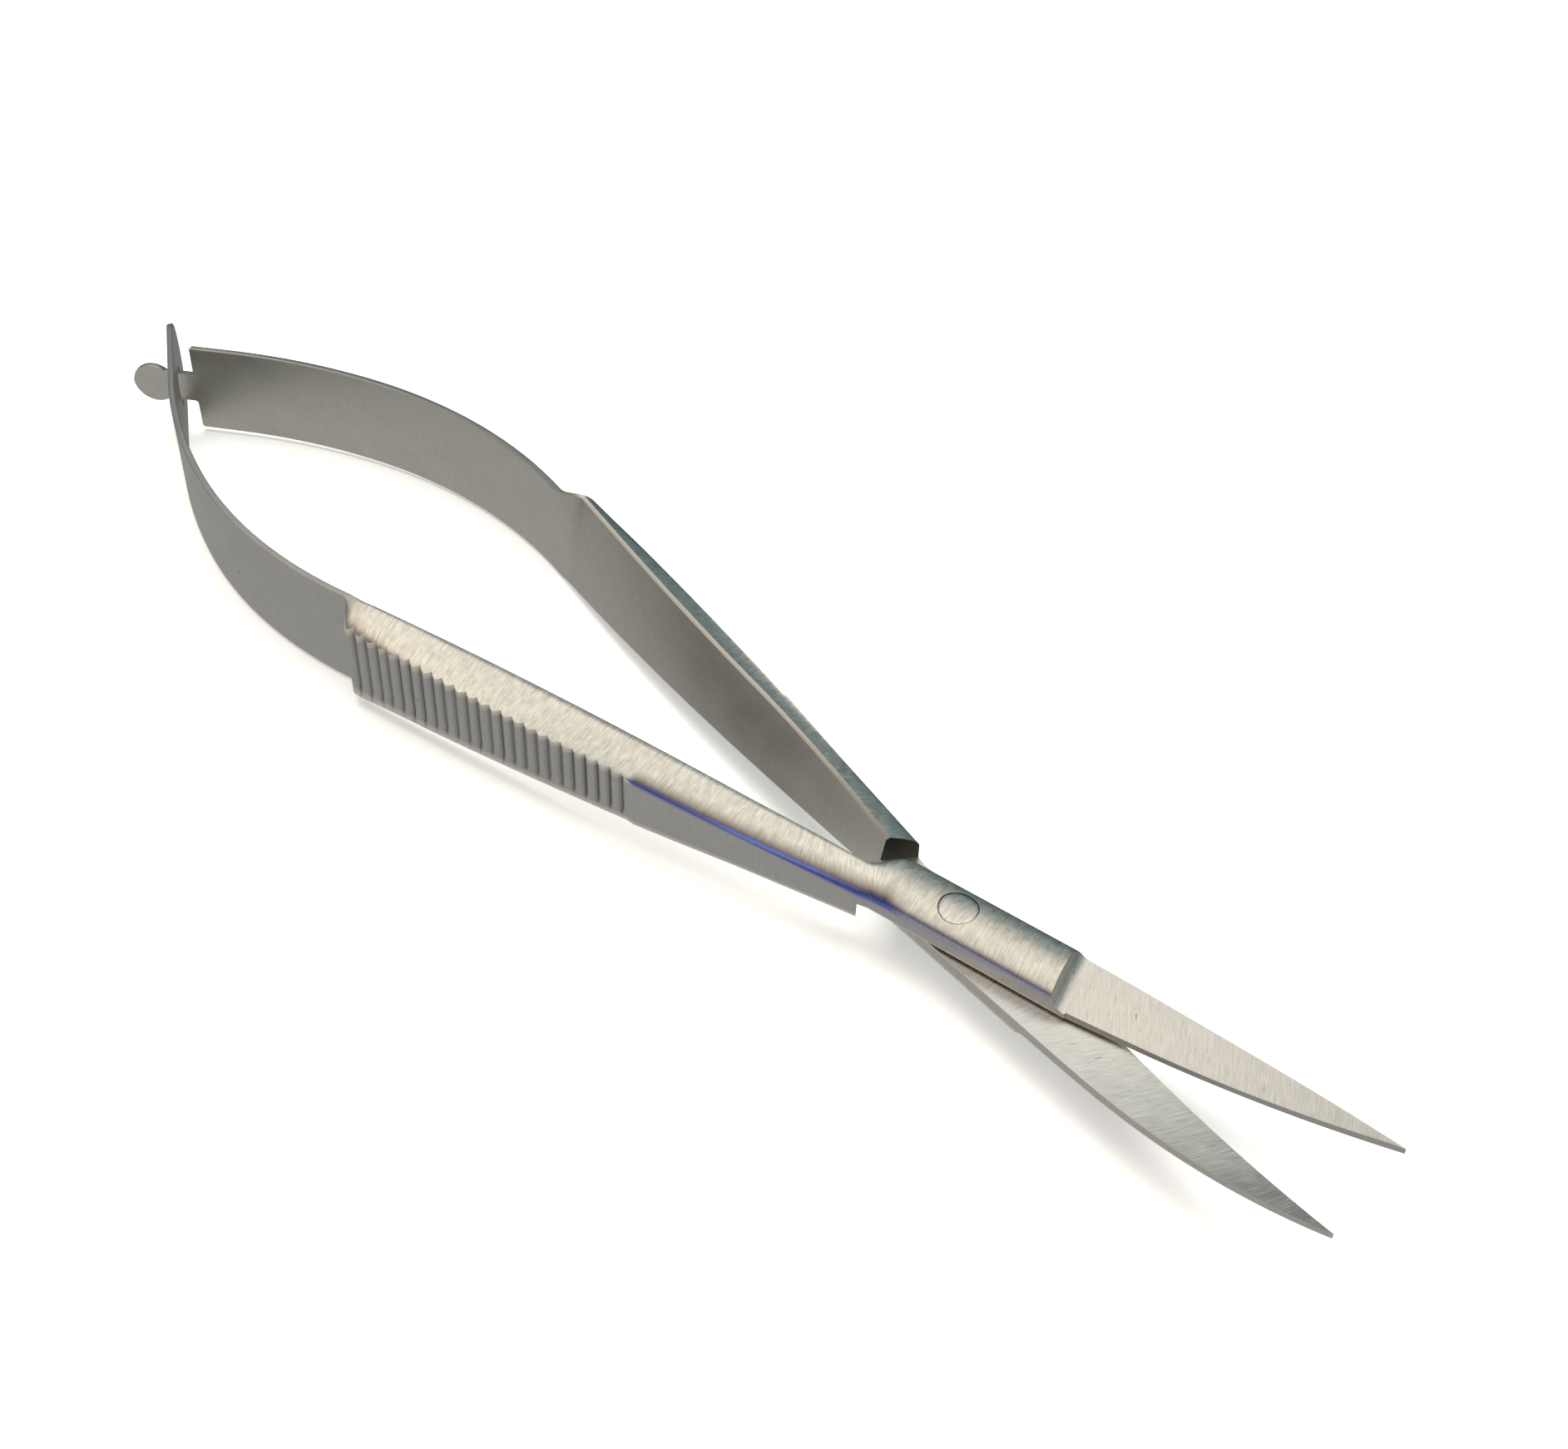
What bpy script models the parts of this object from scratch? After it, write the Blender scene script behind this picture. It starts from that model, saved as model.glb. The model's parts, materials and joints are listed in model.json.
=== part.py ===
"""Spring-action thread snips: two one-piece steel halves, lap jointed on a flush pin.

Built in a pivot frame: the pin's axis is Z, the lap plane between the halves is z = 0, +X runs
to the blade tips, and the snips stand open as they rest. The upper half has its handle on the
-Y side and its blade on the +Y side. Turning it half a turn about X gives the lower half. Only
the blades differ: both curve upwards, so that they still slide over each other as they close.
"""
from math import acos, cos, pi, radians, sin, sqrt, tan

import bmesh
import bpy
from mathutils import Vector

MM = 0.001

# Whole object
TIP_X = 30.25 * MM               # pin to blade tips
HALF_HEIGHT = 4.10 * MM          # half of the tallest section, where grip and leaf meet
GAP = 0.30 * MM                  # kept between pieces that touch or slide
LAP = GAP / 2                    # each half's sliding face, measured from the lap plane

# Inner face of a handle in plan: arcs end to end from near the pin, then a straight rear stretch
CURVE_START_X = -4.78 * MM
CURVE_START_Y = 0.79 * MM
CURVE_START_ANGLE = radians(5.6)
HANDLE_RADIUS = 234.0 * MM       # handle bows gently outwards
HANDLE_LENGTH = 42.3 * MM
BEND_RADIUS = 37.0 * MM          # leaf bends back towards the middle
BEND_LENGTH = 21.6 * MM
EASE_RADIUS = 47.0 * MM          # and a little more gently after that
EASE_LENGTH = 13.6 * MM

# Handle section
SHOULDER_ARC = 2.66 * MM         # where the handle's full height ends, along the curve
SHOULDER_SLANT = 1.40 * MM       # outer corner of the shoulder lies this much further forward
SLANT_FADE = 8.0 * MM            # the sections turn square to the curve over this distance
NECK_HALF_HEIGHT = 1.98 * MM     # from the lap plane to the crown at the joint
RISE_START = 14.0 * MM           # behind the pin, where the handle starts to get taller
RISE_END = 46.8 * MM
RISE_POWER = 1.5
THICKEST = 3.75 * MM
THICKEST_X = 29.0 * MM           # behind the pin
THIN_FRONT = 3.45                # loss of thickness per metre squared, ahead of the thickest place
THIN_REAR = 3.8                  # and behind it
LEAN_MOST = 2.15 * MM            # how far the inner face leans back from edge to edge
LEAN_ARC = 19.0 * MM             # where it leans most
LEAN_FRONT = 6.95                # loss of lean per squared metre ahead of that
LEAN_REAR = 1.3                  # and behind it
WALL_FRONT = 0.95 * MM           # half height of the flat outer wall at the shoulder
WALL_MIDDLE = 2.04 * MM
WALL_REAR = 2.60 * MM
WALL_FRONT_X = 6.4 * MM
WALL_MIDDLE_X = 24.0 * MM
WALL_REAR_X = 40.0 * MM
RAMP_LENGTH = 1.5 * MM           # step from the leaf's outer face up to the grip's
SHOULDER_FORWARD = 0.05 * MM     # lean of the shoulder's face
ROOT_STEPS = 6                   # sections along the leaf's root, the ramp and the plain front
RAMP_STEPS = 4
FRONT_STEPS = 10

# Serrated grip
GRIP_END_ARC = 43.6 * MM         # where grip turns into leaf, along the curve
LOWER_GRIP_SHORTER = 1.6 * MM    # the lower half's grip is ground off this much earlier
GROOVE_COUNT = 24
GROOVE_PITCH = 1.02 * MM
GROOVE_DEPTH = 0.40 * MM

# Leaf springs
LEAF_THICKNESS = 0.52 * MM
LEAF_HALF_REAR = 3.88 * MM       # half height of the leaf at its rear end
LEAF_EDGE_DROP = 0.05 * MM
FLEX_ARC = 56.6 * MM             # bending centre, a third of the way from grip to crossing
CROSSING_ARC = 82.10 * MM        # where the two leaves cross on the middle plane
SLOTTED_END_ARC = 87.80 * MM
SLOTTED_END_ROUND = 3.0 * MM
SLOT_LENGTH = 4.00 * MM
SLOT_HEIGHT = 3.40 * MM
LEAF_A_END_ARC = 80.70 * MM      # shoulders of the tongue
TONGUE_SHOULDER = 0.06 * MM
NECK_HALF = 1.34 * MM
BULB_HALF = 1.76 * MM
TONGUE_LENGTH = 5.35 * MM
LEAF_STEPS = 16
ROUND_STEPS = 6
BULB_STEPS = 8
ROUND_TURN = radians(87.0)       # a rounded end stops just short of a point

# Shank, the straight bar around the pin
SHANK_ANGLE = radians(7.0)
SHANK_HALF_WIDTH = 2.18 * MM
SHANK_WALL = 1.05 * MM           # side wall height above the lap plane
SHANK_CROWN = 1.97 * MM
FLARE_START_X = -6.90 * MM       # where the upper part widens from handle to shank
FLARE_END_X = -5.10 * MM
FLARE_NEAR_START_X = -5.10 * MM  # the same stretch on the near side
FLARE_NEAR_END_X = -3.90 * MM
FLARE_STEPS = 7
FIRST_PEAK = 0.08                # highest line of a section, as a share of its width
MIDDLE_PEAK = 0.5
SHANK_FAR_START_X = -3.00 * MM   # the plain stretch of the shank starts here
SHANK_NEAR_START_X = -2.40 * MM

# Blades
STEP_FAR_X = 8.25 * MM           # where the flat ground top starts, at the spine
STEP_NEAR_X = 9.48 * MM          # and at the cutting edge
STEP_FILLET = 0.42 * MM
FILLET_STEPS = 5
BLADE_STEPS = 16
BLADE_CROWDING = 1.3             # sections lie closer together towards the tip
EDGE_START_Y = -0.96 * MM
EDGE_SLOPE = 0.2215
SPINE_BEND = 2.23 * MM           # how far the spine curves in by the tip
SPINE_POWER = 2.5
BLADE_THICK_BASE = 0.78 * MM     # at the spine
BLADE_THICK_TIP = 0.46 * MM
WEDGE_SLOPE = 0.10               # the ground top falls towards the cutting edge
EDGE_BEVEL = 0.28 * MM           # the cutting edge's side leans in by this much
EDGE_BEVEL_SHARE = 0.3           # or by this share of a narrower section
CURVE_UP_START = 13.7 * MM       # distance from the pin where the blades start to curve up
CURVE_UP_RISE = 1.79 * MM        # rise at the tips

# Pin
PIN_RADIUS = 1.27 * MM
PIN_SIDES = 32
PIN_INNER_RING = 0.5             # ring of points inside the pin's crowned ends
HOLE_RADIUS = PIN_RADIUS + GAP

CROWN_POINTS = 8                 # across the top of each section

STEEL_GRIP = (0.62, 0.60, 0.56)
STEEL_GRIP_LOWER = (0.52, 0.53, 0.52)
STEEL_LEAF = (0.56, 0.56, 0.54)
STEEL_LEAF_LOWER = (0.48, 0.48, 0.46)
STEEL_PIN = (0.68, 0.67, 0.63)


# ---------------------------------------------------------------- helpers

def clamp01(value):
    return min(1.0, max(0.0, value))


def mix(start, end, share):
    return start + (end - start) * share


def smooth(share):
    share = clamp01(share)
    return share * share * (3.0 - 2.0 * share)


def steel(name, colour, roughness):
    material = bpy.data.materials.new(name)
    material.use_nodes = True
    shader = material.node_tree.nodes["Principled BSDF"]
    shader.inputs["Base Color"].default_value = (*colour, 1.0)
    shader.inputs["Metallic"].default_value = 1.0
    shader.inputs["Roughness"].default_value = roughness
    return material


def loft(name, rings, origin, material):
    """Closed body through rings of points, all with the same count; origin is its object's place."""
    mesh = bmesh.new()
    rows = []
    for ring in rings:
        rows.append([mesh.verts.new(Vector(point) - origin) for point in ring])
    count = len(rings[0])
    for first, second in zip(rows, rows[1:]):
        for i in range(count):
            j = (i + 1) % count
            mesh.faces.new((first[i], first[j], second[j], second[i]))
    mesh.faces.new(list(reversed(rows[0])))
    mesh.faces.new(rows[-1])
    bmesh.ops.recalc_face_normals(mesh, faces=mesh.faces)
    bmesh.ops.triangulate(mesh, faces=mesh.faces)
    return add_object(name, mesh, origin, material)


def add_object(name, mesh, origin, material=None):
    data = bpy.data.meshes.new(name)
    mesh.to_mesh(data)
    mesh.free()
    item = bpy.data.objects.new(name, data)
    item.location = PIVOT + origin
    bpy.context.scene.collection.objects.link(item)
    if material:
        data.materials.append(material)
    data.shade_smooth()
    data.set_sharp_from_angle(angle=radians(28))
    return item


def cut(item, cutter):
    cutter.hide_render = True
    cutter.display_type = "WIRE"
    modifier = item.modifiers.new("cut", "BOOLEAN")
    modifier.operation = "DIFFERENCE"
    modifier.solver = "EXACT"
    modifier.object = cutter


# ---------------------------------------------------------------- plan curve

def curve(arc):
    """Place and outward direction on a handle's inner face, at a distance along it.

    For the handle on the +Y side. Returns x, y and the angle by which the curve moves outwards
    as it goes back.
    """
    x, y, angle = CURVE_START_X, CURVE_START_Y, CURVE_START_ANGLE
    pieces = (
        (HANDLE_RADIUS, HANDLE_LENGTH),
        (-BEND_RADIUS, BEND_LENGTH),
        (-EASE_RADIUS, EASE_LENGTH),
    )
    for radius, length in pieces:
        step = min(arc, length)
        turned = angle + step / radius
        x -= radius * (sin(turned) - sin(angle))
        y += radius * (cos(angle) - cos(turned))
        angle = turned
        arc -= step
    return x - arc * cos(angle), y + arc * sin(angle), angle


def curve_offset(arc, depth):
    """Point at a depth outwards from the inner face, for the upper half's handle on -Y."""
    x, y, angle = curve(arc)
    return x + depth * sin(angle), -(y + depth * cos(angle))


REAR_X = curve_offset(SLOTTED_END_ARC, LEAF_THICKNESS)[0]
PIVOT = Vector((-(TIP_X + REAR_X) / 2, 0.0, HALF_HEIGHT))


def half_height(back):
    rise = clamp01((back - RISE_START) / (RISE_END - RISE_START)) ** RISE_POWER
    return mix(NECK_HALF_HEIGHT, HALF_HEIGHT, rise)


def thickness(back):
    off = back - THICKEST_X
    loss = THIN_FRONT if off < 0.0 else THIN_REAR
    return THICKEST - loss * off * off


def wall_height(back):
    if back < WALL_MIDDLE_X:
        share = (back - WALL_FRONT_X) / (WALL_MIDDLE_X - WALL_FRONT_X)
        return mix(WALL_FRONT, WALL_MIDDLE, clamp01(share))
    share = (back - WALL_MIDDLE_X) / (WALL_REAR_X - WALL_MIDDLE_X)
    return mix(WALL_MIDDLE, WALL_REAR, clamp01(share))


def inner_lean(arc):
    """How far the inner face of a handle stands back at its outward-leaning edge."""
    off = arc - LEAN_ARC
    loss = LEAN_FRONT if off < 0.0 else LEAN_REAR
    return LEAN_MOST - loss * off * off


def leaf_half_height(arc):
    share = (arc - GRIP_END_ARC) / (LEAF_A_END_ARC - GRIP_END_ARC)
    return mix(HALF_HEIGHT, LEAF_HALF_REAR, clamp01(share))


def lift(x, y):
    """How far the blades have curved upwards, the same at every angle around the pin."""
    share = (sqrt(x * x + y * y) - CURVE_UP_START) / (TIP_X - CURVE_UP_START)
    return CURVE_UP_RISE * max(0.0, share) ** 2


# ---------------------------------------------------------------- sections of a half

def crown_height(share, peak, top, far_drop, near_drop):
    """Height of a section's rounded top, at a share of its width from the far side."""
    if share < peak:
        off = (peak - share) / peak
        return top - far_drop * (1.0 - sqrt(1.0 - off * off))
    off = (share - peak) / (1.0 - peak)
    return top - near_drop * (1.0 - sqrt(max(0.0, 1.0 - off * off)))


def section(far, near, top, far_drop=0.0, near_drop=0.0, peak=0.0, width_share=1.0,
            full=True, near_inset=0.0, lean=0.0, wedge=0.0):
    """Ring of points: over the top from far to near, down the wall and back along the bottom.

    far and near are plan points. With full set the section goes as far below the lap plane as
    above it. Otherwise its bottom is the flat sliding face. width_share under 1 cuts the outer
    side away, as a groove does, near_inset leans the near wall inwards, lean is how far the foot
    of the inner face stands back from its top, and wedge is how much lower the near side's top is.
    """
    width = sqrt((near[0] - far[0]) ** 2 + (near[1] - far[1]) ** 2)
    top_share = width_share - near_inset / width
    foot_share = lean / width if full else 0.0
    upper = []
    lower = []
    for i in range(CROWN_POINTS):
        across = sin(i / (CROWN_POINTS - 1) * pi / 2)
        if peak > 0.0:
            even = 0.5 - 0.5 * cos(i / (CROWN_POINTS - 1) * pi)
            across = mix(across, even, clamp01(peak / MIDDLE_PEAK))
        share = top_share * across
        x = mix(far[0], near[0], share)
        y = mix(far[1], near[1], share)
        z = crown_height(share, peak, top, far_drop, near_drop) - wedge * share
        upper.append((x, y, z))
        lower_share = mix(foot_share, width_share, across)
        lower_point = (mix(far[0], near[0], lower_share), mix(far[1], near[1], lower_share))
        lower.append((*lower_point, -z if full else LAP))
    if not full:
        corner = lower.pop()
        lower.append((mix(lower[-1][0], corner[0], 0.5), mix(lower[-1][1], corner[1], 0.5), LAP))
        lower[0] = (mix(lower[0][0], lower[1][0], 0.5), mix(lower[0][1], lower[1][1], 0.5), LAP)
        near_lap = corner
    else:
        near_lap = (lower[-1][0], lower[-1][1], LAP)
    lap_share = foot_share * (top - LAP) / (2.0 * top)
    far_lap = (mix(far[0], near[0], lap_share), mix(far[1], near[1], lap_share), LAP)
    return upper + [near_lap] + lower[::-1] + [far_lap]


def handle_section(arc, grip_end, groove=0.0, full=True, forward=0.0):
    """Section of the handle or of the leaf's root, at a distance along the curve."""
    x, y, _ = curve(arc)
    slant = SHOULDER_SLANT * clamp01(1.0 - (arc - SHOULDER_ARC) / SLANT_FADE)
    back = -x
    grip_share = smooth((grip_end + RAMP_LENGTH - arc) / RAMP_LENGTH)
    depth = mix(LEAF_THICKNESS, thickness(back), grip_share)
    top = half_height(back) if arc < GRIP_END_ARC else leaf_half_height(arc)
    drop = mix(LEAF_EDGE_DROP, top - wall_height(back), grip_share)
    far = (x + forward, -y)
    near_x, near_y = curve_offset(arc - slant, depth)
    width_share = 1.0 - groove / depth
    return section(far, (near_x + forward, near_y), top, near_drop=drop,
                   width_share=width_share, full=full, lean=inner_lean(arc) * grip_share)


def shank_side(x, side):
    """Plan point on the shank's far (+1) or near (-1) side, at a given x."""
    return x, x * tan(SHANK_ANGLE) + side * SHANK_HALF_WIDTH / cos(SHANK_ANGLE)


def shank_section(far, near, top=SHANK_CROWN, wall=SHANK_WALL):
    return section(far, near, top, top - wall, top - wall, MIDDLE_PEAK, full=False)


def flare_sections():
    """The upper part widening from the handle's inner face out to the shank's far side."""
    rings = []
    for i in range(1, FLARE_STEPS + 1):
        share = i / FLARE_STEPS
        x = mix(FLARE_START_X, FLARE_END_X, share)
        inner_y = -(CURVE_START_Y + (CURVE_START_X - x) * tan(CURVE_START_ANGLE))
        far = (x, mix(inner_y, shank_side(x, 1)[1], smooth(share)))
        near = shank_side(mix(FLARE_NEAR_START_X, FLARE_NEAR_END_X, share), -1)
        top = mix(NECK_HALF_HEIGHT, SHANK_CROWN, share)
        far_drop = (SHANK_CROWN - SHANK_WALL) * share
        near_drop = mix(NECK_HALF_HEIGHT - WALL_FRONT, SHANK_CROWN - SHANK_WALL, share)
        peak = mix(FIRST_PEAK, MIDDLE_PEAK, share)
        rings.append(section(far, near, top, far_drop, near_drop, peak, full=False))
    return rings


def step_sections():
    """Shank from behind the pin to the ground step, then the step's hollow fillet."""
    rings = []
    for share in (0.0, 0.5, 1.0):
        far = shank_side(mix(SHANK_FAR_START_X, STEP_FAR_X - STEP_FILLET, share), 1)
        near = shank_side(mix(SHANK_NEAR_START_X, STEP_NEAR_X - STEP_FILLET, share), -1)
        rings.append(shank_section(far, near))
    flat = LAP + BLADE_THICK_BASE
    for i in range(1, FILLET_STEPS):
        share = i / FILLET_STEPS
        left = 1.0 - sqrt(1.0 - (1.0 - share) ** 2)
        far = shank_side(STEP_FAR_X - STEP_FILLET * (1.0 - share), 1)
        near = shank_side(STEP_NEAR_X - STEP_FILLET * (1.0 - share), -1)
        top = mix(flat, SHANK_CROWN, left)
        rings.append(shank_section(far, near, top, mix(flat, SHANK_WALL, left)))
    return rings


def blade_sections():
    """Flat ground blade from the step to the blunt tip."""
    rings = []
    for i in range(BLADE_STEPS + 1):
        share = 1.0 - (1.0 - i / BLADE_STEPS) ** BLADE_CROWDING
        far_x = mix(STEP_FAR_X, TIP_X, share)
        near_x = mix(STEP_NEAR_X, TIP_X, share)
        bend = SPINE_BEND * share ** SPINE_POWER
        far = (far_x, shank_side(far_x, 1)[1] - bend)
        near = (near_x, EDGE_START_Y + EDGE_SLOPE * (near_x - STEP_NEAR_X))
        width = far[1] - near[1]
        top = LAP + mix(BLADE_THICK_BASE, BLADE_THICK_TIP, share)
        inset = min(EDGE_BEVEL, EDGE_BEVEL_SHARE * width)
        rings.append(section(far, near, top, peak=MIDDLE_PEAK, full=False, near_inset=inset,
                             wedge=WEDGE_SLOPE * width))
    return rings


def half_sections(grip_end):
    """All sections of the upper half, from its cut leaf root to the blade's tip."""
    rings = []
    for i in range(ROOT_STEPS):
        arc = mix(FLEX_ARC - LAP, grip_end + RAMP_LENGTH, i / ROOT_STEPS)
        rings.append(handle_section(arc, grip_end))
    for i in range(RAMP_STEPS):
        rings.append(handle_section(grip_end + RAMP_LENGTH * (1.0 - i / RAMP_STEPS), grip_end))
    for i in range(GROOVE_COUNT):
        crest = grip_end - i * GROOVE_PITCH
        rings.append(handle_section(crest, grip_end))
        rings.append(handle_section(crest - GROOVE_PITCH / 2, grip_end, groove=GROOVE_DEPTH))
    groove_end = grip_end - GROOVE_COUNT * GROOVE_PITCH
    for i in range(FRONT_STEPS + 1):
        arc = mix(groove_end, SHOULDER_ARC, i / FRONT_STEPS)
        rings.append(handle_section(arc, grip_end))
    rings.append(handle_section(SHOULDER_ARC, grip_end, full=False, forward=SHOULDER_FORWARD))
    return rings + flare_sections() + step_sections() + blade_sections()


def placed(ring, lower_half):
    """A ring of the upper half, or its lower half copy, with the blades' upward curve added."""
    side = -1.0 if lower_half else 1.0
    return [(x, side * y, side * z + (lift(x, y) if x > 0.0 else 0.0)) for x, y, z in ring]


def make_half(name, lower_half, material):
    grip_end = GRIP_END_ARC - LOWER_GRIP_SHORTER if lower_half else GRIP_END_ARC
    rings = [placed(ring, lower_half) for ring in half_sections(grip_end)]
    half = loft(name, rings, Vector((0.0, 0.0, 0.0)), material)
    hole = bmesh.new()
    bmesh.ops.create_cone(hole, cap_ends=True, segments=PIN_SIDES, radius1=HOLE_RADIUS,
                          radius2=HOLE_RADIUS, depth=4 * NECK_HALF_HEIGHT)
    cut(half, add_object(name + "_hole_cutter", hole, Vector((0.0, 0.0, 0.0))))
    return half


# ---------------------------------------------------------------- pin and leaves

def make_pin(material):
    """Pin through both halves, its ends ground to the crowns of the shanks."""
    rings = []
    for side, scale in ((-1, PIN_INNER_RING), (-1, 1.0), (1, 1.0), (1, PIN_INNER_RING)):
        ring = []
        for i in range(PIN_SIDES):
            angle = 2 * pi * i / PIN_SIDES
            x = PIN_RADIUS * scale * cos(angle)
            y = PIN_RADIUS * scale * sin(angle)
            across = y * cos(SHANK_ANGLE) - side * x * sin(SHANK_ANGLE)
            share = 0.5 - 0.5 * across / SHANK_HALF_WIDTH
            drop = SHANK_CROWN - SHANK_WALL
            height = crown_height(share, MIDDLE_PEAK, SHANK_CROWN, drop, drop)
            ring.append((x, y, side * height))
        rings.append(ring)
    return loft("pivot_pin", rings, Vector((0.0, 0.0, 0.0)), material)


def flex_point(side):
    x, y, angle = curve(FLEX_ARC)
    middle = LEAF_THICKNESS / 2
    return Vector((x + middle * sin(angle), side * (y + middle * cos(angle)), 0.0))


def leaf_ring(arc, half, side):
    inner = curve_offset(arc, 0.0)
    outer = curve_offset(arc, LEAF_THICKNESS)
    ring = []
    for (x, y), z in ((inner, half), (outer, half), (outer, -half), (inner, -half)):
        ring.append((x, -side * y, z))
    return ring


def make_leaf(name, side, profile, material):
    """Leaf from its bending centre to the rear; profile lists distances and half heights."""
    rings = [leaf_ring(arc, half, side) for arc, half in profile]
    return loft(name, rings, flex_point(side), material)


def slotted_profile():
    """Upper leaf: full height, then a rounded end behind the crossing."""
    profile = []
    round_start = SLOTTED_END_ARC - SLOTTED_END_ROUND
    for i in range(LEAF_STEPS + 1):
        arc = mix(FLEX_ARC + LAP, round_start, i / LEAF_STEPS)
        profile.append((arc, leaf_half_height(arc)))
    for i in range(1, ROUND_STEPS + 1):
        turn = ROUND_TURN * i / ROUND_STEPS
        arc = round_start + SLOTTED_END_ROUND * sin(turn)
        profile.append((arc, LEAF_HALF_REAR * cos(turn)))
    return profile


def tongue_profile():
    """Lower leaf: full height to its shoulders, then a neck and an oval head."""
    profile = []
    for i in range(LEAF_STEPS):
        arc = mix(FLEX_ARC + LAP, LEAF_A_END_ARC, i / (LEAF_STEPS - 1))
        profile.append((arc, leaf_half_height(arc)))
    profile.append((LEAF_A_END_ARC + TONGUE_SHOULDER, NECK_HALF))
    middle = LEAF_A_END_ARC + TONGUE_LENGTH - BULB_HALF
    neck_turn = -acos(NECK_HALF / BULB_HALF)
    for i in range(BULB_STEPS + 1):
        turn = mix(neck_turn, ROUND_TURN, i / BULB_STEPS)
        profile.append((middle + BULB_HALF * sin(turn), BULB_HALF * cos(turn)))
    return profile


def make_slotted_leaf(material):
    leaf = make_leaf("upper_leaf_spring", -1, slotted_profile(), material)
    x, y, angle = curve(CROSSING_ARC)
    slot = bmesh.new()
    bmesh.ops.create_cube(slot, size=1.0)
    bmesh.ops.scale(slot, verts=slot.verts, vec=(SLOT_LENGTH, 6 * LEAF_THICKNESS, SLOT_HEIGHT))
    cutter = add_object("slot_cutter", slot, Vector((x, -y, 0.0)))
    cutter.rotation_euler.z = angle
    cut(leaf, cutter)
    return leaf


def main():
    for item in list(bpy.data.objects):
        bpy.data.objects.remove(item, do_unlink=True)
    make_half("upper_half", False, steel("upper_half_steel", STEEL_GRIP, 0.30))
    make_half("lower_half", True, steel("lower_half_steel", STEEL_GRIP_LOWER, 0.32))
    make_pin(steel("pin_steel", STEEL_PIN, 0.22))
    make_slotted_leaf(steel("upper_leaf_steel", STEEL_LEAF, 0.42))
    make_leaf("lower_leaf_spring", 1, tongue_profile(),
              steel("lower_leaf_steel", STEEL_LEAF_LOWER, 0.42))


main()
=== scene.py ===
"""Spring-action thread snips: brushed steel halves, flush pin and crossed leaf springs.

Each half and its leaf are one skin, made of rings from the leaf's rear end to the blade's tip.
The rings are laid out for the upper half. The lower half is made alike and turned over about the
X axis, with a shorter grip and a tongue where the upper half's leaf has a slot.
"""
import json
import random
from math import acos, cos, hypot, pi, radians, sin, sqrt, tan

import bmesh
import bpy
from mathutils import Matrix, Vector
from mathutils.bvhtree import BVHTree
from mathutils.kdtree import KDTree


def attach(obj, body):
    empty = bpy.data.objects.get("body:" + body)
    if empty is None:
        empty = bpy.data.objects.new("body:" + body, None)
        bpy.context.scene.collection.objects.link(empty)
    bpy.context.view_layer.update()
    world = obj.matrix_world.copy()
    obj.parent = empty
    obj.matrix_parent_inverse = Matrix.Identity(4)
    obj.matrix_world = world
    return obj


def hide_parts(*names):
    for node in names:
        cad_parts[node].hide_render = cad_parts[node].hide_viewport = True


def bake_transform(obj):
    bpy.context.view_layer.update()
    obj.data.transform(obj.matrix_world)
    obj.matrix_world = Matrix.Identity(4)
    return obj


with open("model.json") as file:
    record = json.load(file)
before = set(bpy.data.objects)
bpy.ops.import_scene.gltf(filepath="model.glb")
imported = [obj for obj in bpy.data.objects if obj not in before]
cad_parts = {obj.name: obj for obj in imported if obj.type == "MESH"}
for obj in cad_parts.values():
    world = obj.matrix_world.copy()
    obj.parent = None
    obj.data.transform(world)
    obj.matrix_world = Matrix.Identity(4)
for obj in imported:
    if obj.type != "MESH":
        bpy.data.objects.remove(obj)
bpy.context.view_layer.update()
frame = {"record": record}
record = frame["record"]
PIVOT = Vector(record["behaviour"]["joints"][0]["pos_m"])

MM = 0.001
LAP = 0.10 * MM                  # each half's sliding face, from the plane between the halves

# ---- sizes of the CAD, or up to 0.05 mm inside it, measured from the pin, +X to the tips

TIP_X = 30.20 * MM
HALF_HEIGHT = 4.10 * MM
CURVE_START_X = -4.78 * MM
CURVE_START_Y = 0.79 * MM
CURVE_START_ANGLE = radians(5.6)
HANDLE_RADIUS = 234.0 * MM
HANDLE_LENGTH = 42.3 * MM
BEND_RADIUS = 37.0 * MM
BEND_LENGTH = 21.6 * MM
EASE_RADIUS = 47.0 * MM
EASE_LENGTH = 13.6 * MM
SHOULDER_ARC = 2.66 * MM
SHOULDER_SLANT = 1.40 * MM
SLANT_FADE = 8.0 * MM
NECK_HALF_HEIGHT = 1.98 * MM
RISE_START = 14.0 * MM
RISE_END = 46.8 * MM
RISE_POWER = 1.5
THICKEST = 3.75 * MM
THICKEST_X = 29.0 * MM
THIN_FRONT = 3.45                # 1/m, thickness lost with the distance squared, to the front
THIN_REAR = 3.8                  # and to the rear
LEAN_MOST = 2.15 * MM
LEAN_ARC = 19.0 * MM
LEAN_FRONT = 6.95                # 1/m, lean lost with the distance squared, to the front
LEAN_REAR = 1.3                  # and to the rear
WALL_FRONT = 0.95 * MM
WALL_MIDDLE = 2.04 * MM
WALL_REAR = 2.60 * MM
WALL_FRONT_X = 6.4 * MM
WALL_MIDDLE_X = 24.0 * MM
WALL_REAR_X = 40.0 * MM
RAMP_LENGTH = 1.5 * MM
GRIP_END_ARC = 43.6 * MM
LOWER_GRIP_SHORTER = 1.6 * MM
GROOVE_COUNT = 24
GROOVE_PITCH = 1.02 * MM
LEAF_THICKNESS = 0.50 * MM
LEAF_HALF_REAR = 3.88 * MM
FLEX_ARC = 56.6 * MM
SLOTTED_END_ARC = 87.75 * MM
SLOTTED_END_ROUND = 3.0 * MM
TONGUE_ARC = 80.70 * MM
NECK_HALF = 1.34 * MM
BULB_HALF = 1.74 * MM
TONGUE_LENGTH = 5.30 * MM
CROSSING_ARC = 82.10 * MM
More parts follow.
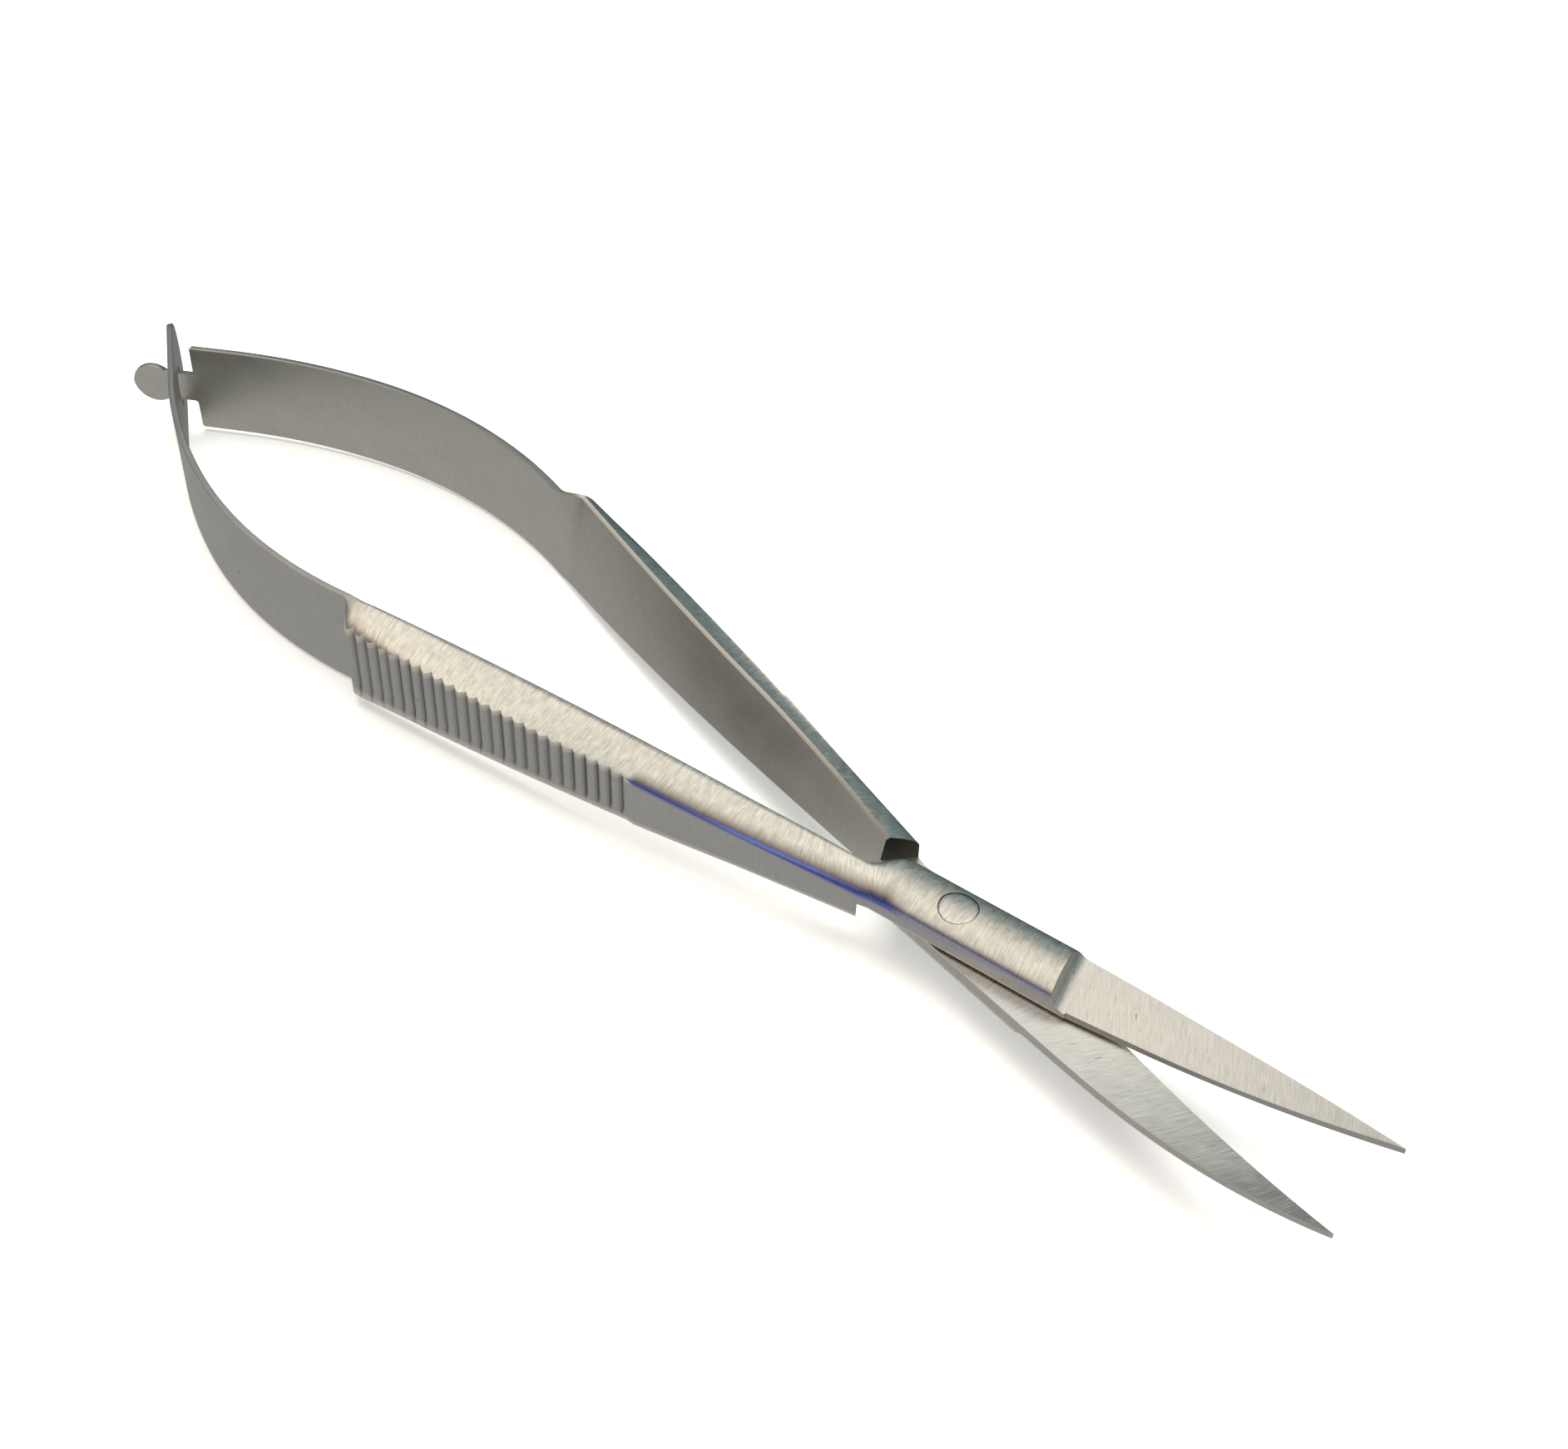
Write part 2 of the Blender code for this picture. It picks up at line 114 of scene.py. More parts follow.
SHANK_ANGLE = radians(7.0)
SHANK_HALF_WIDTH = 2.16 * MM
SHANK_WALL = 1.05 * MM
SHANK_CROWN = 1.97 * MM
STEP_FAR_X = 8.25 * MM
STEP_NEAR_X = 9.48 * MM
EDGE_START_Y = -0.96 * MM
EDGE_SLOPE = 0.2215
SPINE_BEND = 2.23 * MM
SPINE_POWER = 2.5
BLADE_THICK_BASE = 0.78 * MM
BLADE_THICK_TIP = 0.44 * MM
WEDGE_SLOPE = 0.10
CURVE_UP_START = 13.7 * MM
CURVE_UP_RISE = 1.79 * MM
PIN_RADIUS = 1.27 * MM

# ---- finer shape, only here or closer than in the CAD

SLOT_LENGTH = 3.20 * MM
SLOT_HEIGHT = 3.20 * MM
STEP_FILLET = 1.15 * MM          # radius of the round cutter that ends the shank
EDGE_BEVEL = 0.10 * MM           # the cutting edge's side leans in by this much
EDGE_BEVEL_SHARE = 0.3           # or by this share of a narrower section
BLADE_CROWDING = 1.3             # gathers a blade's sections towards its tip
BLADE_BRUSH_SLANT = -0.35
BLEND_START_ARC = 47.0 * MM      # two places along a half and its leaf; only their points are computed
BLEND_END_ARC = 70.0 * MM
GROOVE_CREST = 0.10 * MM         # the grip's outer wall is planed off by this much
GROOVE_DEPTH = 0.34 * MM
GROOVE_RINGS = 12                # sections per groove
GROOVE_UNEVEN = (0.86, 1.06)     # range of the grooves' depths
GROOVE_SKEW = 0.05
EDGE_CHAMFER = 0.26 * MM         # inner top and bottom edges of a handle
LEAF_EDGE = 0.09 * MM            # edges of a half where it becomes a leaf
LEAF_OUTER_EDGE = 0.10 * MM
LEAF_INNER_EDGE = 0.08 * MM
LEAF_CORNER = 0.12 * MM          # beside the tongue
LEAF_CORNER_START = 0.02 * MM
TONGUE_ROOT_ROUND = 0.30 * MM
SLOT_ROUND = 1.2 * MM
BLUE_WIDTH = 0.34 * MM           # painted blue reflection where the crown meets the wall
BLUE_FADE = 0.20 * MM
BLUE_BELOW = 0.28 * MM
# painted brown reflection: a dark band on the crown towards its near edge
BROWN_WIDTH = 1.45 * MM
BROWN_FADE = 1.20 * MM
CROWN_TILT = 0.16                # slope of the crown where it leaves the inner face
CROWN_POINTS = 34
WALL_POINTS = 8
RUNOUT_START = 0.80              # down the wall, where the grooves start to run out
SHOULDER_RINGS = (               # distance in front of the handle, full height, painted shade on the milled face
    (0.01 * MM, True, True),
    (0.04 * MM, False, True),
    (0.05 * MM, False, False),
)
FILLET_STEPS = 24
FLARE_START_X = -6.90 * MM       # where the handle's section turns into the shank's
FLARE_FAR_END_X = -5.10 * MM
FLARE_NEAR_END_X = -3.90 * MM
SHANK_FAR_START_X = -3.00 * MM
SHANK_NEAR_START_X = -2.40 * MM
SHANK_BLUE = 0.45                # the painted blue reflection is fainter along the shank
HANDLE_PEAK = 0.18               # a handle's top also falls a little towards its inner edge
HANDLE_FAR_DROP = 0.20 * MM
MIDDLE_PEAK = 0.5
PIN_RING = 0.06 * MM             # visible groove around the pin
PIN_EDGE = 0.04 * MM
PIN_SIDES = 96
PIN_RING_SCALES = (0.2, 0.45, 0.7, 0.88, 0.97, 1.0)
HOLE_CUTTER_LENGTH = 9.0 * MM
SLOT_CUTTER_LENGTH = 3.0 * MM
SAME_POINT = 0.002 * MM
SHARP_ANGLE = radians(26.0)
WALL_GRAIN_SHIFT = 7.0           # keep the brushing of one face from running on into the next
BLADE_GRAIN_SHIFT = 3.0
PIN_GRAIN_SHIFT = 40.0

# ---- zones of the finish, one per colour channel

CROWN = (1, 0, 0, 1)
WALL = (0, 1, 0, 1)
BLADE = (0, 0, 1, 1)
INNER = (0, 0, 0, 1)
# painted shade on the shoulder's milled face below the lap
SHOULDER_SHADE = (0, 0, 0, 0)
LEAF_WALL_SHARE = 0.5            # a leaf's finish lies between the wall's and the inner face's

# ---- colours of marks on the steel: wear, specks, painted reflections and painted shade

TIP_COLOUR = (0.19, 0.20, 0.20, 1.0)
NICK_COLOUR = (0.20, 0.17, 0.15, 1.0)
# painted reflection: a dark brown band on the crown towards its near edge
PAINTED_BROWN_REFLECTION_COLOUR = (0.10, 0.07, 0.065, 1.0)
# painted reflection: a blue line along the crown's near edge and the top of the wall
PAINTED_BLUE_REFLECTION_COLOUR = (0.12, 0.17, 0.58, 1.0)
# painted shade in the grip's groove valleys
VALLEY_SHADE_COLOUR = (0.12, 0.115, 0.105, 1.0)
SPECK_COLOUR = (0.05, 0.045, 0.04, 1.0)
# painted shade on the shoulder's milled face below the lap
SHOULDER_SHADE_COLOUR = (0.075, 0.068, 0.060, 1.0)

# ---- studio: brightness seen by the steel, by height from straight down (0) to straight up (1)

FAR_SIDE_SKY = (
    (0.00, (0.56, 0.55, 0.52)), (0.22, (0.46, 0.46, 0.44)), (0.32, (0.065, 0.09, 0.10)),
    (0.50, (0.11, 0.16, 0.17)), (0.74, (0.20, 0.27, 0.28)), (0.82, (0.42, 0.46, 0.45)),
    (0.885, (0.88, 0.87, 0.82)), (1.00, (1.30, 1.26, 1.15)))
NEAR_SIDE_SKY = (
    (0.00, (0.62, 0.61, 0.575)), (0.34, (0.62, 0.61, 0.575)), (0.57, (0.60, 0.59, 0.55)),
    (0.62, (0.13, 0.09, 0.09)), (0.70, (0.16, 0.11, 0.10)), (0.81, (0.62, 0.53, 0.44)),
    (0.90, (1.18, 1.12, 1.00)), (1.00, (1.30, 1.26, 1.15)))
SKY_BLEND = 0.35                 # the two sides mix across this much of the direction's Y
FLOOR_GAP = 0.2 * MM
CAMERA_BEARING = radians(-41.977)
CAMERA_RISE = radians(43.542)
CAMERA_ROLL = radians(-2.146)
CAMERA_DISTANCE = 150.15 * MM
CAMERA_TARGET = (-20.62 * MM, 5.86 * MM, 0.0)
CAMERA_LENS = 49.5


def clamp01(value):
    return min(1.0, max(0.0, value))


def mix(start, end, share):
    return start + (end - start) * share


def smooth(share):
    share = clamp01(share)
    return share * share * (3.0 - 2.0 * share)


def curve(arc):
    """Plan place and angle on the inner face of the handle on +Y, at a distance along it."""
    x, y, angle = CURVE_START_X, CURVE_START_Y, CURVE_START_ANGLE
    pieces = (
        (HANDLE_RADIUS, HANDLE_LENGTH),
        (-BEND_RADIUS, BEND_LENGTH),
        (-EASE_RADIUS, EASE_LENGTH),
    )
    for radius, length in pieces:
        step = min(arc, length)
        turned = angle + step / radius
        x -= radius * (sin(turned) - sin(angle))
        y += radius * (cos(angle) - cos(turned))
        angle = turned
        arc -= step
    return x - arc * cos(angle), y + arc * sin(angle), angle


def curve_offset(arc, depth):
    """The same for the upper half's handle on -Y, at a depth outwards from the inner face."""
    x, y, angle = curve(arc)
    return x + depth * sin(angle), -(y + depth * cos(angle))


def half_height(back):
    rise = clamp01((back - RISE_START) / (RISE_END - RISE_START)) ** RISE_POWER
    return mix(NECK_HALF_HEIGHT, HALF_HEIGHT, rise)


def thickness(back):
    off = back - THICKEST_X
    return THICKEST - (THIN_FRONT if off < 0.0 else THIN_REAR) * off * off


def wall_height(back):
    if back < WALL_MIDDLE_X:
        return mix(WALL_FRONT, WALL_MIDDLE,
                   clamp01((back - WALL_FRONT_X) / (WALL_MIDDLE_X - WALL_FRONT_X)))
    return mix(WALL_MIDDLE, WALL_REAR,
               clamp01((back - WALL_MIDDLE_X) / (WALL_REAR_X - WALL_MIDDLE_X)))


def inner_lean(arc):
    off = arc - LEAN_ARC
    return LEAN_MOST - (LEAN_FRONT if off < 0.0 else LEAN_REAR) * off * off


def leaf_half_height(arc):
    share = (arc - GRIP_END_ARC) / (TONGUE_ARC - GRIP_END_ARC)
    return mix(HALF_HEIGHT, LEAF_HALF_REAR, clamp01(share))


def lift(x, y):
    share = (hypot(x, y) - CURVE_UP_START) / (TIP_X - CURVE_UP_START)
    return CURVE_UP_RISE * max(0.0, share) ** 2


def crown_height(share, peak, top, far_drop, near_drop, tilt=0.0):
    """Height of a rounded top at a share of its width; tilt is part of the near drop."""
    if share < peak:
        off = (peak - share) / peak
        return top - far_drop * (1.0 - sqrt(max(0.0, 1.0 - off * off)))
    off = (share - peak) / (1.0 - peak)
    return top - tilt * off - (near_drop - tilt) * (1.0 - sqrt(max(0.0, 1.0 - off * off)))


class Body:
    """Rows of points along a half, with what its finish needs at each point."""

    def __init__(self):
        self.rings = []
        self.zones = []
        self.grains = []
        self.marks = []


def section(body, along, far, near, top, far_drop=0.0, near_drop=0.0, peak=0.0, cut=0.0,
            full=True, inset=0.0, chamfer=0.0, tilt=0.0, zone=CROWN, groove=0.0,
            blue=1.0, shear=0.0, lean=0.0, wedge=0.0, milled=False, ceiling=None):
    """Adds one ring: crown from far to near, near wall, underside from near to far, far wall.

    far and near are the plan places of the crown's two edges, top is its highest point, and
    far_drop and near_drop are what it falls by at each edge. cut planes the near wall back, lean
    moves the far wall's foot towards the near wall, and full takes the ring on below the lap.
    """
    width = hypot(near[0] - far[0], near[1] - far[1])
    reach = 1.0 - cut / width
    top_reach = reach - inset / width
    foot_reach = 1.0 - min(cut, GROOVE_CREST) / width
    start = chamfer / width
    foot = lean / width if full else 0.0
    # a milled ring gives its faces below the lap painted shade
    below = SHOULDER_SHADE if milled else None
    ring, zones, grains, marks = [], [], [], []

    def add(share, z, kind, across, tint=0.0, dark=0.0, notch=0.0):
        x = mix(far[0], near[0], share)
        y = mix(far[1], near[1], share)
        ring.append((x, y, z))
        zones.append(kind)
        shift = kind[1] * WALL_GRAIN_SHIFT + kind[2] * BLADE_GRAIN_SHIFT
        grains.append(((along + shear * share * width) / MM, across / MM, shift))
        # mark channels: painted blue reflection, painted brown reflection, painted groove shade
        marks.append((tint, dark, notch, 1.0))

    def crown_share(i, first, last):
        turn = i / (CROWN_POINTS - 1)
        early = sin(turn * pi / 2)
        even = 0.5 - 0.5 * cos(turn * pi)
        return mix(first, last, mix(early, even, clamp01(peak / MIDDLE_PEAK)))

    def height(share):
        return crown_height(share, peak, top, far_drop, near_drop, tilt) - wedge * share

    for i in range(CROWN_POINTS):
        share = crown_share(i, start, top_reach)
        # edge and brown mask the painted blue and brown reflections by the crown's near edge
        edge = clamp01((share - (1.0 - BLUE_WIDTH / width)) / (BLUE_FADE / width))
        brown = clamp01((share - (1.0 - BROWN_WIDTH / width)) / (BROWN_FADE / width))
        full_height = height(share)
        z = full_height
        if ceiling is not None:
            z = min(full_height, ceiling - WEDGE_SLOPE * width * share)
        fresh = z < full_height
        bare = BLADE if fresh else (CROWN if ceiling is not None else zone)
        add(share, z, bare, share * width, 0.0 if fresh else blue * edge,
            0.0 if fresh else blue * brown, groove * edge)
    near_top = ring[-1][2]
    near_bottom = -near_top if full else LAP
    for i in range(1, WALL_POINTS + 1):
        turn = i / (WALL_POINTS + 1)
        z = mix(near_top, near_bottom, turn)
        runout = smooth((turn - RUNOUT_START) / (1.0 - RUNOUT_START))
        share = mix(mix(top_reach, reach, turn), foot_reach, runout)
        # the painted blue reflection runs a little way down the wall
        tint = blue * clamp01(1.0 - (near_top - z) / BLUE_BELOW)
        kind = below if below and z < LAP else WALL
        # the painted shade of the groove valleys runs all down the wall
        add(share, z, kind, width + near_top - z, tint, 0.0, groove)
    for i in reversed(range(CROWN_POINTS)):
        if full:
            share = crown_share(i, foot + start, foot_reach)
            tucked = (share - foot) / (1.0 - foot)
            z = -crown_height(tucked, 0.0, top, 0.0, near_drop, tilt)
            add(share, z, below or zone, share * width)
        else:
            turn = i / (CROWN_POINTS - 1)
            add(mix(0.0, foot_reach, turn), LAP, below or BLADE, mix(0.0, width, turn))
    far_low = -(top - chamfer) if full else LAP
    far_high = ring[0][2] - chamfer
    for i in range(1, WALL_POINTS + 1):
        turn = (i - 1) / (WALL_POINTS - 1) if full else i / (WALL_POINTS + 1)
        z = mix(far_low, far_high, turn)
        add(foot * (1.0 - turn), z, below if below and z < LAP else INNER, z)
    body.rings.append(ring)
    body.zones.append(zones)
    body.grains.append(grains)
    body.marks.append(marks)


def handle_section(body, arc, grip_end, cut=0.0, full=True, groove=0.0, milled=False):
    x, y, _ = curve(arc)
    slant = SHOULDER_SLANT * clamp01(1.0 - (arc - SHOULDER_ARC) / SLANT_FADE)
    back = -x
    grip_share = smooth((grip_end + RAMP_LENGTH - arc) / RAMP_LENGTH)
    depth = mix(LEAF_THICKNESS, thickness(back), grip_share)
    top = half_height(back) if arc < GRIP_END_ARC else leaf_half_height(arc)
    drop = mix(LEAF_EDGE, top - wall_height(back), grip_share)
    zone = (grip_share, (1.0 - grip_share) * LEAF_WALL_SHARE, 0, 1)
    section(body, -arc, (x, -y), curve_offset(arc - slant, depth), top,
            HANDLE_FAR_DROP * grip_share, drop, HANDLE_PEAK * grip_share, cut,
            full=full, chamfer=mix(LEAF_EDGE, EDGE_CHAMFER, grip_share),
            tilt=CROWN_TILT * depth * grip_share, zone=zone, groove=groove,
            blue=grip_share * clamp01(1.0 - cut / GROOVE_CREST), lean=inner_lean(arc) * grip_share,
            milled=milled)


def shank_side(x, side):
    return x, x * tan(SHANK_ANGLE) + side * SHANK_HALF_WIDTH / cos(SHANK_ANGLE)


def shank_section(body, far, near, ceiling=None, hollow=0.0):
    drop = SHANK_CROWN - SHANK_WALL
    section(body, far[0], far, near, SHANK_CROWN, drop, drop, MIDDLE_PEAK, full=False,
            zone=(1.0 - hollow, 0, hollow, 1), blue=SHANK_BLUE, ceiling=ceiling)


def add_handle(body, grip_end, seed):
    rng = random.Random(seed)
    root_steps = 10
    for i in range(root_steps):
        handle_section(body, mix(FLEX_ARC, grip_end + RAMP_LENGTH, i / root_steps), grip_end)
    ramp_steps = 12
    for i in range(ramp_steps):
        handle_section(body, grip_end + RAMP_LENGTH * (1.0 - i / ramp_steps), grip_end,
                       cut=GROOVE_CREST * i / ramp_steps)
    for i in range(GROOVE_COUNT):
        crest = grip_end - i * GROOVE_PITCH
        depth = GROOVE_DEPTH * rng.uniform(*GROOVE_UNEVEN)
        skew = rng.uniform(-GROOVE_SKEW, GROOVE_SKEW)
        for j in range(GROOVE_RINGS):
            turn = j / GROOVE_RINGS
            bent = clamp01(turn + skew * sin(pi * turn))
            notch = 1.0 - abs(cos(pi * bent))
            # notch shapes each groove and also sets its painted shade
            handle_section(body, crest - GROOVE_PITCH * turn, grip_end,
                           cut=GROOVE_CREST + depth * notch, groove=notch)
    groove_end = grip_end - GROOVE_COUNT * GROOVE_PITCH
    handle_section(body, groove_end, grip_end, cut=GROOVE_CREST)
    front_steps = 34
    for i in range(1, front_steps + 1):
        arc = mix(groove_end - 0.1 * MM, SHOULDER_ARC, i / front_steps)
        handle_section(body, arc, grip_end)
    for step, full, milled in SHOULDER_RINGS:
        handle_section(body, SHOULDER_ARC - step, grip_end, full=full, milled=milled)


def add_flare(body):
    """Neck, where the handle's section turns into the shank's."""
    steps = 16
    for i in range(1, steps + 1):
        share = i / steps
        x = mix(FLARE_START_X, FLARE_FAR_END_X, share)
        inner_y = -(CURVE_START_Y + (CURVE_START_X - x) * tan(CURVE_START_ANGLE))
        far = (x, mix(inner_y, shank_side(x, 1)[1], smooth(share)))
        near = shank_side(mix(FLARE_FAR_END_X, FLARE_NEAR_END_X, share), -1)
        top = mix(NECK_HALF_HEIGHT, SHANK_CROWN, share)
        far_drop = mix(HANDLE_FAR_DROP, SHANK_CROWN - SHANK_WALL, share)
        near_drop = mix(NECK_HALF_HEIGHT - WALL_FRONT, SHANK_CROWN - SHANK_WALL, share)
        section(body, x, far, near, top, far_drop, near_drop, mix(HANDLE_PEAK, MIDDLE_PEAK, share),
                full=False, chamfer=EDGE_CHAMFER * (1.0 - share),
                tilt=CROWN_TILT * thickness(-x) * (1.0 - share))


def add_shank(body):
    """Crowned shank, ending where a round cutter has milled it down to the blade's flat."""
    steps = 40
    for i in range(steps + 1):
        share = i / steps
        far = shank_side(mix(SHANK_FAR_START_X, STEP_FAR_X - STEP_FILLET, share), 1)
        near = shank_side(mix(SHANK_NEAR_START_X, STEP_NEAR_X - STEP_FILLET, share), -1)
        shank_section(body, far, near)
    flat = LAP + BLADE_THICK_BASE
    for i in range(1, FILLET_STEPS):
        left = STEP_FILLET * (1.0 - i / FILLET_STEPS)
        ceiling = flat + STEP_FILLET - sqrt(STEP_FILLET ** 2 - left ** 2)
        far = shank_side(STEP_FAR_X - left, 1)
        near = shank_side(STEP_NEAR_X - left, -1)
        shank_section(body, far, near, ceiling, i / FILLET_STEPS)


def add_blade(body):
    steps = 70
    for i in range(steps + 1):
        share = 1.0 - (1.0 - i / steps) ** BLADE_CROWDING
        far_x = mix(STEP_FAR_X, TIP_X, share)
        near_x = mix(STEP_NEAR_X, TIP_X, share)
        far = (far_x, shank_side(far_x, 1)[1] - SPINE_BEND * share ** SPINE_POWER)
        near = (near_x, EDGE_START_Y + EDGE_SLOPE * (near_x - STEP_NEAR_X))
        width = far[1] - near[1]
        top = LAP + mix(BLADE_THICK_BASE, BLADE_THICK_TIP, share)
        section(body, far_x, far, near, top, peak=MIDDLE_PEAK, full=False,
                inset=min(EDGE_BEVEL, EDGE_BEVEL_SHARE * width), zone=BLADE, blue=0.0,
                shear=BLADE_BRUSH_SLANT, wedge=WEDGE_SLOPE * width)


def tongue_profile():
    """The tongue's rounded bulb, its neck, the rounds at its root and the leaf's corners."""
    profile = []
    bulb_points, neck_points, root_points = 24, 8, 6
    middle = TONGUE_ARC + TONGUE_LENGTH - BULB_HALF
    neck_turn = -acos(NECK_HALF / BULB_HALF)
    for i in range(bulb_points):
        turn = mix(radians(89.0), neck_turn, i / (bulb_points - 1))
        profile.append((middle + BULB_HALF * sin(turn), BULB_HALF * cos(turn)))
    neck_end = middle + BULB_HALF * sin(neck_turn)
    for i in range(1, neck_points + 1):
        profile.append((mix(neck_end, TONGUE_ARC + TONGUE_ROOT_ROUND, i / neck_points), NECK_HALF))
    for i in range(1, root_points + 1):
        turn = i / root_points * pi / 2
        profile.append((TONGUE_ARC + TONGUE_ROOT_ROUND * (1.0 - sin(turn)),
                        NECK_HALF + TONGUE_ROOT_ROUND * (1.0 - cos(turn))))
    height = leaf_half_height(TONGUE_ARC)
    corner = TONGUE_ARC - LEAF_CORNER_START
    return profile + [(corner, height - LEAF_CORNER), (corner - LEAF_CORNER, height)]


def round_end_profile():
    """The round rear end of the slotted leaf."""
    points = 20
    round_start = SLOTTED_END_ARC - SLOTTED_END_ROUND
    turns = [mix(radians(88.0), 0.0, i / (points - 1)) for i in range(points)]
    return [(round_start + SLOTTED_END_ROUND * sin(turn), LEAF_HALF_REAR * cos(turn)) for turn in turns]


def leaf_profile(tongued):
    """Distances along the curve and half heights of a leaf, from its rear end to FLEX_ARC."""
    profile = tongue_profile() if tongued else round_end_profile()
    start = profile[-1][0]
    steps = 60
    for i in range(1, steps):
        arc = mix(start, FLEX_ARC, i / steps)
        profile.append((arc, leaf_half_height(arc)))
    return profile


def add_leaf(body, tongued):
    for arc, half in leaf_profile(tongued):
        far = curve_offset(arc, 0.0)
        near = curve_offset(arc, LEAF_THICKNESS)
        section(body, -arc, far, near, half, near_drop=min(LEAF_OUTER_EDGE, 0.4 * half),
                chamfer=min(LEAF_INNER_EDGE, 0.3 * half), zone=(0, LEAF_WALL_SHARE, 0, 1),
                blue=0.0)


def finish_layers(mesh):
    colour, vector = mesh.verts.layers.float_color, mesh.verts.layers.float_vector
    return colour.new("zone"), colour.new("mark"), vector.new("grain")


def skin(mesh, rows):
    """Joins rows of points into one closed skin."""
    count = len(rows[0])
    for first, second in zip(rows, rows[1:]):
        for i in range(count):
            j = (i + 1) % count
            mesh.faces.new((first[i], first[j], second[j], second[i]))
    mesh.faces.new(list(reversed(rows[0])))
    mesh.faces.new(rows[-1])
    bmesh.ops.recalc_face_normals(mesh, faces=mesh.faces)


def place_mesh(mesh, name):
    data = bpy.data.meshes.new(name)
    mesh.to_mesh(data)
    mesh.free()
    item = bpy.data.objects.new(name, data)
    bpy.context.scene.collection.objects.link(item)
    return item


def build_half(name, lower):
    body = Body()
    grip_end = GRIP_END_ARC - LOWER_GRIP_SHORTER if lower else GRIP_END_ARC
    add_leaf(body, lower)
    add_handle(body, grip_end, 5 if lower else 3)
    add_flare(body)
    add_shank(body)
    add_blade(body)
    side = -1.0 if lower else 1.0
    mesh = bmesh.new()
    zone_layer, mark_layer, grain_layer = finish_layers(mesh)
    rows = []
    for ring, zones, grains, marks in zip(body.rings, body.zones, body.grains, body.marks):
        row = []
        for (x, y, z), zone, grain, mark in zip(ring, zones, grains, marks):
            rise = lift(x, y) if x > 0.0 else 0.0
            vert = mesh.verts.new(PIVOT + Vector((x, side * y, side * z + rise)))
            vert[zone_layer] = zone
            vert[mark_layer] = mark
            vert[grain_layer] = grain
            row.append(vert)
        rows.append(row)
    skin(mesh, rows)
    return place_mesh(mesh, name)


def cut_with(item, cutter):
    """Cuts item, gives the new points their neighbours' finish and the hole's walls slot 1, which holds
    painted shade.
    """
    old = item.data
    tree = KDTree(len(old.vertices))
    for vertex in old.vertices:
        tree.insert(vertex.co, vertex.index)
    tree.balance()
    hole = BVHTree.FromObject(cutter, bpy.context.evaluated_depsgraph_get())
    place = cutter.matrix_world.inverted()
    modifier = item.modifiers.new("cut", "BOOLEAN")
    modifier.operation = "DIFFERENCE"
    modifier.solver = "EXACT"
    modifier.object = cutter
    bpy.context.view_layer.update()
    evaluated = item.evaluated_get(bpy.context.evaluated_depsgraph_get())
    mesh = bpy.data.meshes.new_from_object(evaluated)
    item.modifiers.clear()
    for vertex in mesh.vertices:
        _, index, distance = tree.find(vertex.co)
        if distance > SAME_POINT:
            for name, field in (("zone", "color"), ("mark", "color"), ("grain", "vector")):
                value = getattr(old.attributes[name].data[index], field)
                setattr(mesh.attributes[name].data[vertex.index], field, value)
    for face in mesh.polygons:
        _, _, _, distance = hole.find_nearest(place @ face.center)
        if distance < SAME_POINT:
            face.material_index = 1
    item.data = mesh
    bpy.data.objects.remove(cutter)


def cutter_from(mesh, matrix):
    item = place_mesh(mesh, "cutter")
    item.matrix_world = matrix
    return item


def pin_hole():
    mesh = bmesh.new()
    radius = PIN_RADIUS + PIN_RING
    bmesh.ops.create_cone(mesh, cap_ends=True, segments=PIN_SIDES, radius1=radius, radius2=radius,
                          depth=HOLE_CUTTER_LENGTH)
    return cutter_from(mesh, Matrix.Translation(PIVOT))


def slot_hole():
    x, y, angle = curve(CROSSING_ARC)
    mesh = bmesh.new()
    bmesh.ops.create_cube(mesh, size=1.0)
    bmesh.ops.scale(mesh, verts=mesh.verts, vec=(SLOT_LENGTH, SLOT_CUTTER_LENGTH, SLOT_HEIGHT))
    through = [e for e in mesh.edges if abs((e.verts[0].co - e.verts[1].co).y) > 0.5 * SLOT_CUTTER_LENGTH]
    bmesh.ops.bevel(mesh, geom=through, offset=SLOT_ROUND, segments=8, profile=0.5, affect="EDGES")
    place = Matrix.Translation(PIVOT + Vector((x, -y, 0)))
    return cutter_from(mesh, place @ Matrix.Rotation(angle, 4, "Z"))


def build_pin():
    """Pin, its two heads ground to the shanks' crowns."""
    mesh = bmesh.new()
    rows = []
    rings = [(-1, scale) for scale in PIN_RING_SCALES]
    rings += [(1, scale) for scale in reversed(PIN_RING_SCALES)]
    zone_layer, mark_layer, grain_layer = finish_layers(mesh)
    drop = SHANK_CROWN - SHANK_WALL
    for side, scale in rings:
        row = []
        for i in range(PIN_SIDES):
            angle = 2 * pi * i / PIN_SIDES
            x = PIN_RADIUS * scale * cos(angle)
            y = PIN_RADIUS * scale * sin(angle)
            across = y * cos(SHANK_ANGLE) - side * x * sin(SHANK_ANGLE)
            share = 0.5 - 0.5 * across / SHANK_HALF_WIDTH
            height = crown_height(share, MIDDLE_PEAK, SHANK_CROWN, drop, drop)
            edge = PIN_EDGE * clamp01((scale - 0.9) / 0.1) ** 2
            vert = mesh.verts.new(PIVOT + Vector((x, y, side * (height - edge))))
            vert[grain_layer] = (x / MM + PIN_GRAIN_SHIFT, across / MM, 2.0)
            vert[zone_layer] = CROWN
            vert[mark_layer] = (0, 0, 0, 0)
            row.append(vert)
        rows.append(row)
    skin(mesh, rows)
    return place_mesh(mesh, "pivot_pin_head")


# ---------------------------------------------------------------- materials

